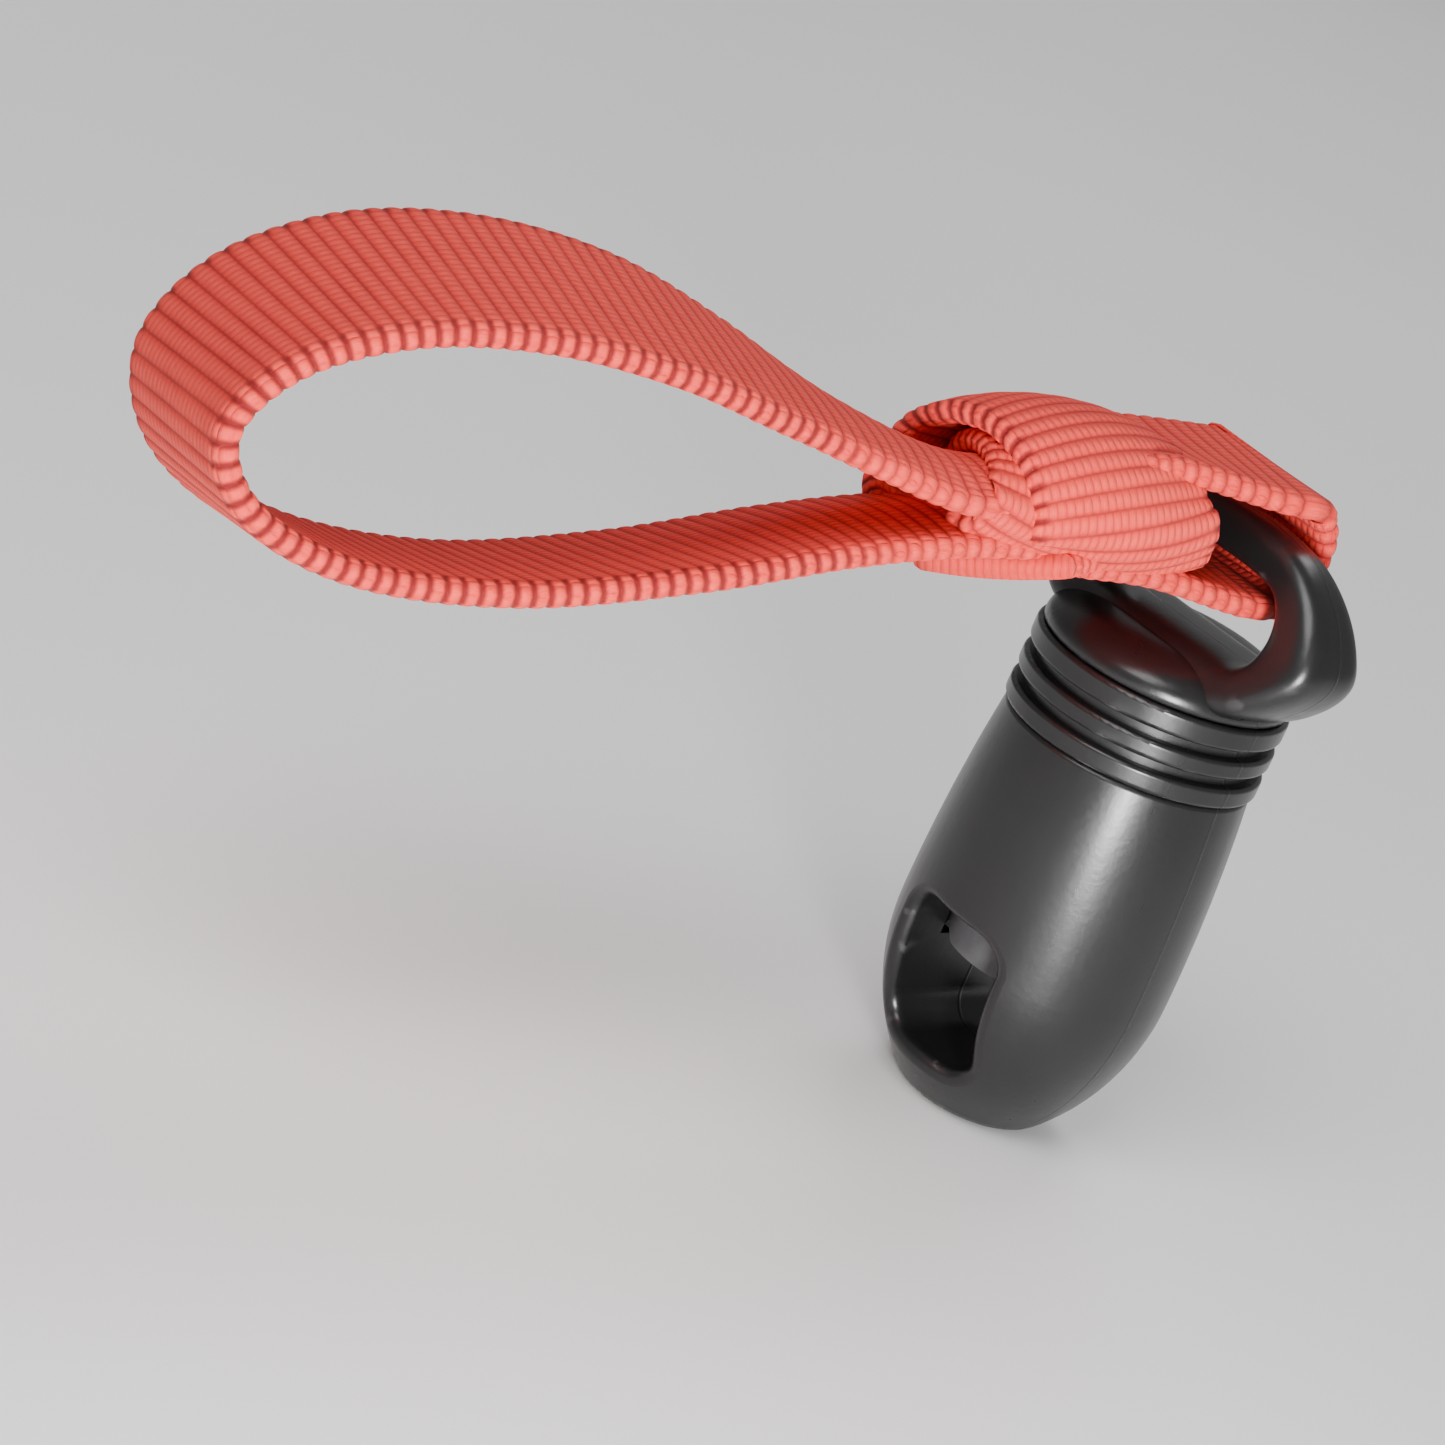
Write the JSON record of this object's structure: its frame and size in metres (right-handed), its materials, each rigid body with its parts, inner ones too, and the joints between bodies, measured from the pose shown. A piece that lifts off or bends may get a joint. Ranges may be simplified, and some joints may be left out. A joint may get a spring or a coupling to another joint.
{
  "type": "cord lock",
  "caption": "Pull-to-release cord lock: a round moulded barrel grips drawcords under a sprung toothed piston, which a hoop with a red webbing finger loop lifts clear.",
  "frame": {"origin": "centre of the cord passage, on the barrel's axis", "axes": "+Z along the barrel's axis towards the pull hoop, X along the cord passage, Y across it along the hoop's bar; the finger loop stands out towards -X"},
  "size_m": [0.0581, 0.0246, 0.0353],
  "materials": {
    "black_moulding": "satin",
    "piston_moulding": "matte",
    "spring_wire": "drawn wire",
    "red_webbing": "ribbed grosgrain"
  },
  "bodies": {
    "barrel": {"housing": "black_moulding", "retaining_collar": "black_moulding"},
    "plunger": {"pull_hoop": "black_moulding", "locking_piston": "piston_moulding", "return_spring": "spring_wire"},
    "pull_tab": {"pull_webbing": "red_webbing"}
  },
  "joints": [
    {"name": "release_pull", "type": "slide", "parent": "barrel", "child": "plunger", "axis": [0, 0, 1], "range_m": [0, 0.004], "stiffness_N_per_m": 900, "springref_m": -0.004, "deforming": ["return_spring"]},
    {"name": "loop_swing", "type": "hinge", "parent": "plunger", "child": "pull_tab", "pos_m": [0, 0, 0.02435], "axis": [0, 1, 0], "range_deg": [-10, 195]}
  ]
}
